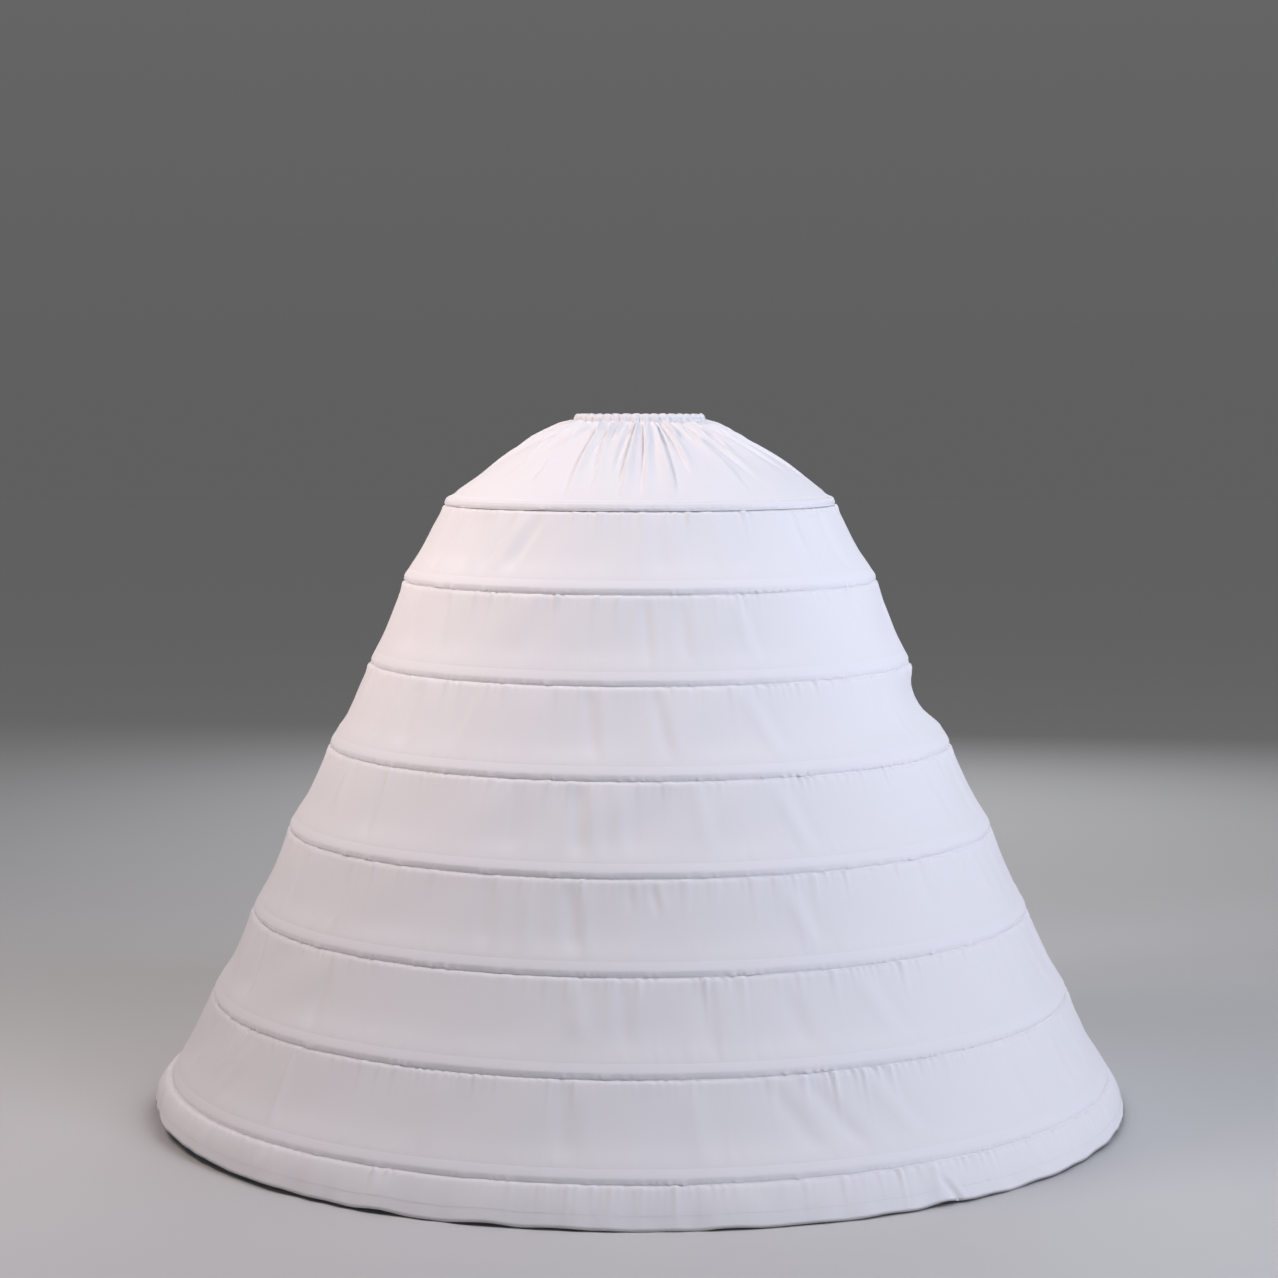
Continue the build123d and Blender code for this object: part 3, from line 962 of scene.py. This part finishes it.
    flat = add_node(tree, "ShaderNodeCombineXYZ")
    along_seam = maths(tree, "MULTIPLY", maths(tree, "MULTIPLY", turn, TURN), local.outputs["X"])
    wire(tree, along_seam, flat.inputs["X"])
    wire(tree, maths(tree, "MULTIPLY", distance.outputs["Value"], -1.0), flat.inputs["Y"])
    mapped = add_node(tree, "GeometryNodeStoreNamedAttribute", {"Name": "cloth"}, data_type="FLOAT2",
                      domain="CORNER")
    wire(tree, grid.outputs["Mesh"], mapped.inputs["Geometry"])
    wire(tree, flat, mapped.inputs["Value"])
    moved = add_node(tree, "GeometryNodeSetPosition")
    wire(tree, mapped, moved.inputs["Geometry"])
    wire(tree, point, moved.inputs["Position"])
    joined = add_node(tree, "GeometryNodeMergeByDistance", {"Distance": 0.00002})
    wire(tree, moved, joined.inputs["Geometry"])
    smoothed = add_node(tree, "GeometryNodeSetShadeSmooth")
    wire(tree, joined, smoothed.inputs["Geometry"])
    real = add_node(tree, "GeometryNodeRealizeInstances")
    wire(tree, smoothed, real.inputs["Geometry"])
    dressed = add_node(tree, "GeometryNodeSetMaterial")
    wire(tree, real, dressed.inputs["Geometry"])
    wire(tree, given.outputs["Material"], dressed.inputs["Material"])
    wire(tree, dressed, result.inputs["Casing"])
    return tree


def stitch_tree():
    """Lays short stitches end to end along a closed line of points."""
    tree, given, result = group_tree(
        "stitches_on_line",
        "GeometryNodeTree",
        [
            ("Line", "NodeSocketGeometry", None),
            ("Spacing", "NodeSocketFloat", 0.0042),
            ("Length", "NodeSocketFloat", 0.0033),
            ("Thickness", "NodeSocketFloat", 0.0006),
            ("Seed", "NodeSocketInt", 0),
            ("Material", "NodeSocketMaterial", None),
        ],
        [("Stitches", "NodeSocketGeometry")],
    )
    curve = add_node(tree, "GeometryNodeMeshToCurve")
    wire(tree, given.outputs["Line"], curve.inputs["Mesh"])
    places = add_node(tree, "GeometryNodeCurveToPoints", mode="LENGTH")
    wire(tree, curve, places.inputs["Curve"])
    wire(tree, given.outputs["Spacing"], places.inputs["Length"])

    bead = add_node(tree, "GeometryNodeMeshIcoSphere", {"Radius": 0.5, "Subdivisions": 1})
    size = add_node(tree, "ShaderNodeCombineXYZ")
    wire(tree, given.outputs["Thickness"], size.inputs["X"])
    wire(tree, given.outputs["Thickness"], size.inputs["Y"])
    wire(tree, given.outputs["Length"], size.inputs["Z"])

    wobble = add_node(tree, "FunctionNodeRandomValue", data_type="FLOAT_VECTOR")
    wobble.inputs["Min"].default_value = (-0.07, -0.07, 0.0)
    wobble.inputs["Max"].default_value = (0.07, 0.07, 0.0)
    wire(tree, given.outputs["Seed"], wobble.inputs["Seed"])
    tilt = add_node(tree, "FunctionNodeEulerToRotation")
    wire(tree, wobble, tilt.inputs[0])
    aim = add_node(tree, "FunctionNodeRotateRotation", rotation_space="LOCAL")
    wire(tree, places.outputs["Rotation"], aim.inputs["Rotation"])
    wire(tree, tilt, aim.inputs["Rotate By"])

    sewn = add_node(tree, "GeometryNodeInstanceOnPoints")
    wire(tree, places.outputs["Points"], sewn.inputs["Points"])
    wire(tree, bead.outputs["Mesh"], sewn.inputs["Instance"])
    wire(tree, aim, sewn.inputs["Rotation"])
    wire(tree, size, sewn.inputs["Scale"])
    real = add_node(tree, "GeometryNodeRealizeInstances")
    wire(tree, sewn, real.inputs["Geometry"])
    smoothed = add_node(tree, "GeometryNodeSetShadeSmooth")
    wire(tree, real, smoothed.inputs["Geometry"])
    dressed = add_node(tree, "GeometryNodeSetMaterial")
    wire(tree, smoothed, dressed.inputs["Geometry"])
    wire(tree, given.outputs["Material"], dressed.inputs["Material"])
    wire(tree, dressed, result.inputs["Stitches"])
    return tree


def grown(name, base, tree_name, values, material):
    """A plain mesh piece grown from a base mesh by a geometry node group."""
    carrier = bpy.data.objects.new(name + "_base", base)
    bpy.context.scene.collection.objects.link(carrier)
    modifier = carrier.modifiers.new(tree_name, "NODES")
    modifier.node_group = bpy.data.node_groups[tree_name]
    sockets = {s.name: s.identifier for s in modifier.node_group.interface.items_tree if s.in_out == "INPUT"}
    for label, value in values.items():
        modifier[sockets[label]] = value
    modifier[sockets["Material"]] = bpy.data.materials[material]
    bpy.context.view_layer.update()
    graph = bpy.context.evaluated_depsgraph_get()
    mesh = bpy.data.meshes.new_from_object(carrier.evaluated_get(graph))
    bpy.data.objects.remove(carrier)
    bpy.data.meshes.remove(base)
    if not mesh.polygons:
        raise RuntimeError(f"{name}: {tree_name} made no faces")
    mesh.name = name
    piece = bpy.data.objects.new(name, mesh)
    bpy.context.scene.collection.objects.link(piece)
    return piece


def section_mesh(seam, lift):
    """A casing's section as a line of points in the XZ plane, with its looseness and its length."""
    scale = lift / (CASING_CREST * MM)
    spots = [seam.point(along, off * scale) for along, off, _ in CASING_SECTION]
    points = np.array([(radius, 0.0, height) for radius, height in spots])
    mesh = bpy.data.meshes.new("casing_section")
    mesh.from_pydata(points.tolist(), [(i, i + 1) for i in range(len(points) - 1)], [])
    steps = np.linalg.norm(np.diff(points, axis=0), axis=1)
    along = np.concatenate([[0], np.cumsum(steps)])
    for name, values in (("looseness", [row[2] for row in CASING_SECTION]), ("along", along)):
        mesh.attributes.new(name, "FLOAT", "POINT").data.foreach_set("value", np.array(values, np.float32))
    return mesh, float(along[-1])


def line_mesh(name, points):
    """A closed line through points."""
    mesh = bpy.data.meshes.new(name)
    count = len(points)
    mesh.from_pydata(points.tolist(), [(i, (i + 1) % count) for i in range(count)], [])
    return mesh


def sew(name, points, settings, seed):
    """A row of stitches along a closed line, as one piece."""
    stitch = settings.stitch
    values = {"Spacing": stitch.spacing, "Length": stitch.length, "Thickness": stitch.thickness, "Seed": seed}
    piece = grown(name, line_mesh(name + "_line", points), "stitches_on_line", values, "sewing_thread")
    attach(piece, "root")
    return piece


# ---------------------------------------------------------------- operators

class MakeFinishes(bpy.types.Operator):
    """Makes the cloth, thread, metal and elastic finishes and the node groups"""

    bl_idname = "crinoline.make_finishes"
    bl_label = "Finishes"

    def execute(self, context):
        make_materials(context.scene.crinoline)
        casing_tree()
        stitch_tree()
        return {"FINISHED"}


class MakeYoke(bpy.types.Operator):
    """Makes the gathered yoke with its folded waist channel"""

    bl_idname = "crinoline.make_yoke"
    bl_label = "Yoke"

    def execute(self, context):
        settings = context.scene.crinoline
        points, down = yoke_surface(gather_plan(settings.cloth.seed), settings)
        foot = SEAMS[0].place[0]
        piece = ring_mesh("yoke_cloth", points, TURN * foot, down)
        finish_with(piece, "white_taffeta")
        declare_band(piece, "yoke")
        stitch_row = points[len(channel_section()) - 2][::3]
        sew("yoke_channel_stitches", stitch_row * (1 + THREAD_LIFT / WAIST_RADIUS), settings, 1)
        return {"FINISHED"}


class MakeTiers(bpy.types.Operator):
    """Makes the seven flared tiers between the hoops"""

    bl_idname = "crinoline.make_tiers"
    bl_label = "Tiers"

    def execute(self, context):
        settings = context.scene.crinoline
        for number, (upper, lower) in enumerate(zip(SEAMS, SEAMS[1:]), start=1):
            node = f"tier_{number}"
            top, foot = upper.place, lower.place
            columns = int(TURN * foot[0] / settings.cloth.column_spacing)
            points, down = tier_surface(node, top, foot, settings, columns, 100 * number)
            length = float(np.linalg.norm(foot - top))
            if node == SIDE_HOLLOW[0]:
                points = sink_side(points, down, length)
            middle = (top[0] + foot[0]) / 2
            piece = ring_mesh(node + "_cloth", points, TURN * middle, down)
            finish_with(piece, "white_taffeta")
            declare_band(piece, node)
        return {"FINISHED"}


class MakeHemFlounce(bpy.types.Operator):
    """Makes the hem flounce with its turned-up and stitched edge"""

    bl_idname = "crinoline.make_hem_flounce"
    bl_label = "Hem Flounce"

    def execute(self, context):
        settings = context.scene.crinoline
        columns = int(TURN * HEM_RADIUS / settings.cloth.column_spacing)
        points, down, length = flounce_surface(columns, settings)
        piece = ring_mesh("hem_flounce_cloth", points, TURN * HEM_RADIUS, down)
        finish_with(piece, "white_taffeta")
        declare_band(piece, "hem_flounce")
        row = int(np.argmin(np.abs(down - (length - HEM_TURN_UP))))
        line = points[row][::4]
        lifted = 1 + THREAD_LIFT / HEM_RADIUS
        sew("hem_stitches", line * [lifted, lifted, 1.0], settings, 2)
        return {"FINISHED"}


class MakeCasings(bpy.types.Operator):
    """Makes the eight hoop casings and the stitching along their lower edges"""

    bl_idname = "crinoline.make_casings"
    bl_label = "Casings"

    def execute(self, context):
        settings = context.scene.crinoline
        casing = settings.casing
        for number, seam in enumerate(SEAMS, start=1):
            radius = seam.place[0]
            section, width = section_mesh(seam, casing.lift)
            values = {
                "Columns": int(TURN * radius / casing.column_spacing),
                "Waves": NOISE_CROWDING * radius / casing.pucker_spacing,
                "Pucker Depth": casing.pucker_depth * TAPE_PUCKERS,
                "Seed": NOISE_STEP * number,
                "Sleeve Half Turn": SLEEVE_HALF / radius,
            }
            name = f"casing_{number}_tape"
            piece = grown(name, section, "casing_round_hoop", values, "casing_tape")
            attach(piece, "root")
            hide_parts(f"casing_{number}")
            line = turned(around(STITCH_POINTS), *seam.point(*STITCH_PLACE))
            sew(f"casing_{number}_stitches", line, settings, 10 + number)
        return {"FINISHED"}


class FinishHoops(bpy.types.Operator):
    """Gives the steel hoops, their sleeves and the waist elastic their finishes"""

    bl_idname = "crinoline.finish_hoops"
    bl_label = "Hoops, Sleeves and Elastic"

    def execute(self, context):
        nodes = frame["nodes"]
        for number in range(1, HOOP_COUNT + 1):
            finish_with(nodes[f"hoop_{number}"], "coated_steel")
            finish_with(nodes[f"hoop_sleeve_{number}"], "plated_sleeve")
        finish_with(nodes["waist_elastic"], "braided_elastic")
        return {"FINISHED"}


def hang(name, lamp, place, aim, power, colour):
    """Hangs a lamp, aimed at a point and out of the camera's sight."""
    lamp.energy = power
    lamp.color = colour
    light = bpy.data.objects.new(name, lamp)
    light.location = place
    light.rotation_euler = (Vector(aim) - Vector(place)).to_track_quat("-Z", "Y").to_euler()
    light.visible_camera = False
    bpy.context.scene.collection.objects.link(light)


def add_light(name, place, aim, size, power, colour):
    """A square soft light."""
    lamp = bpy.data.lights.new(name, "AREA")
    lamp.shape = "SQUARE"
    lamp.size = size
    hang(name, lamp, place, aim, power, colour)


def add_accent(name, place, aim, power, colour):
    """A soft-edged spot light that lifts one side of the upper tiers."""
    lamp = bpy.data.lights.new(name, "SPOT")
    lamp.spot_size = math.radians(22)
    lamp.spot_blend = 1.0
    lamp.shadow_soft_size = 0.4
    hang(name, lamp, place, aim, power, colour)


def make_sky(tree, horizon, height):
    """An even sky that grows lighter upwards, so that it meets the lit floor without a line."""
    tree.nodes.clear()
    output = add_node(tree, "ShaderNodeOutputWorld")
    sky = add_node(tree, "ShaderNodeBackground", {"Color": (1.0, 1.0, 1.0, 1.0)})
    place = add_node(tree, "ShaderNodeTexCoord")
    split = add_node(tree, "ShaderNodeSeparateXYZ")
    wire(tree, place.outputs["Generated"], split.inputs[0])
    rise = maths(tree, "MULTIPLY", maths(tree, "MAXIMUM", split.outputs["Z"], 0.0), height)
    wire(tree, maths(tree, "ADD", rise, horizon), sky.inputs["Strength"])
    wire(tree, sky, output.inputs["Surface"])


def floor_material(colour):
    """A plain matt floor with the faintest mottling."""
    material, tree, output = new_material("studio_floor")
    place = add_node(tree, "ShaderNodeTexCoord")
    cloud = add_node(tree, "ShaderNodeTexNoise", {"Scale": 3.0, "Detail": 2.0})
    wire(tree, place.outputs["Object"], cloud.inputs["Vector"])
    tint = two_tones(tree, cloud.outputs["Fac"], [c * 0.98 for c in colour], colour)
    face = face_node(tree, {"Roughness": 0.8, "Specular IOR Level": 0.2}, tint)
    wire(tree, face, output.inputs["Surface"])
    return material


FLOOR_HALF = 30.0                   # metres from the middle of the floor to its edges
CAMERA_ASIDE = -0.0016              # metres the camera stands off the bell's axis


class MakeStage(bpy.types.Operator):
    """Makes the plain floor, the soft lights and the camera"""

    bl_idname = "crinoline.make_stage"
    bl_label = "Stage"

    def execute(self, context):
        stage = context.scene.crinoline.stage
        half = FLOOR_HALF
        mesh = bpy.data.meshes.new("studio_floor")
        corners = [(-half, -half, 0.0), (half, -half, 0.0), (half, half, 0.0), (-half, half, 0.0)]
        mesh.from_pydata(corners, [], [(0, 1, 2, 3)])
        mesh.materials.append(floor_material(tuple(stage.floor_colour)))
        floor = bpy.data.objects.new("studio_floor", mesh)
        context.scene.collection.objects.link(floor)

        world = bpy.data.worlds.new("soft_sky")
        world.use_nodes = True
        make_sky(world.node_tree, stage.sky_horizon, stage.sky_height)
        context.scene.world = world
        context.scene.view_settings.view_transform = "Standard"

        warm, cool, plain = (1.0, 0.83, 0.8), (0.8, 0.845, 1.0), (0.95, 0.96, 1.0)
        add_light("key_high_left", (-1.9, -0.7, 2.5), (-0.3, 0.0, 0.8), 1.0, stage.key_power, warm)
        add_light("side_right", (3.7, -1.2, 0.3), (0.3, 0.0, 0.4), 2.0, stage.side_power, cool)
        add_light("front_right", (1.7, -2.0, 2.7), (0.1, 0.0, 0.8), 1.5, stage.front_power, cool)
        add_light("back", (0.6, 4.2, 2.6), (0.0, 0.0, 0.6), 2.4, stage.back_power, plain)
        add_light("top", (0.0, -0.5, 3.3), (0.0, 0.0, 1.0), 1.2, stage.top_power, plain)
        accent = stage.accent_power
        add_accent("accent_left", (-2.1, -1.3, 2.2), (-0.4, -0.1, 0.95), accent, (1.0, 0.84, 0.76))
        add_accent("accent_right", (2.3, -1.2, 2.0), (0.45, -0.1, 0.9), accent * 0.5, cool)

        lens = bpy.data.cameras.new("camera")
        lens.lens = stage.lens
        lens.sensor_width = 36.0
        camera = bpy.data.objects.new("camera", lens)
        camera.location = (CAMERA_ASIDE, -stage.camera_distance, stage.camera_height)
        camera.rotation_euler = (math.pi / 2 - stage.camera_pitch, 0.0, 0.0)
        context.scene.collection.objects.link(camera)
        context.scene.camera = camera
        return {"FINISHED"}


class CrinolinePanel(bpy.types.Panel):
    """Lists the makers of the crinoline cage"""

    bl_idname = "VIEW3D_PT_crinoline"
    bl_label = "Crinoline Cage"
    bl_space_type = "VIEW_3D"
    bl_region_type = "UI"
    bl_category = "Crinoline"

    def draw(self, context):
        settings = context.scene.crinoline
        for maker in MAKERS:
            self.layout.operator(maker.bl_idname)
        for label in ("cloth", "casing", "stitch", "stage"):
            group = getattr(settings, label)
            box = self.layout.box()
            box.label(text=label.title())
            for name in group.__annotations__:
                box.prop(group, name)


MAKERS = (MakeFinishes, MakeCasings, MakeYoke, MakeTiers, MakeHemFlounce, FinishHoops, MakeStage)
SETTINGS = (ClothSettings, CasingSettings, StitchSettings, StageSettings, CageSettings)
CLASSES = (*SETTINGS, *MAKERS, CrinolinePanel)


def register():
    """Adds the settings, the makers and the panel."""
    for cls in CLASSES:
        bpy.utils.register_class(cls)
    bpy.types.Scene.crinoline = PointerProperty(type=CageSettings)


def unregister():
    """Takes them away again."""
    del bpy.types.Scene.crinoline
    for cls in reversed(CLASSES):
        bpy.utils.unregister_class(cls)


def main():
    """Makes every piece and the stage."""
    register()
    bpy.ops.crinoline.make_finishes()
    bpy.ops.crinoline.make_casings()
    bpy.ops.crinoline.make_yoke()
    bpy.ops.crinoline.make_tiers()
    bpy.ops.crinoline.make_hem_flounce()
    bpy.ops.crinoline.finish_hoops()
    bpy.ops.crinoline.make_stage()


if __name__ == "__main__":
    main()
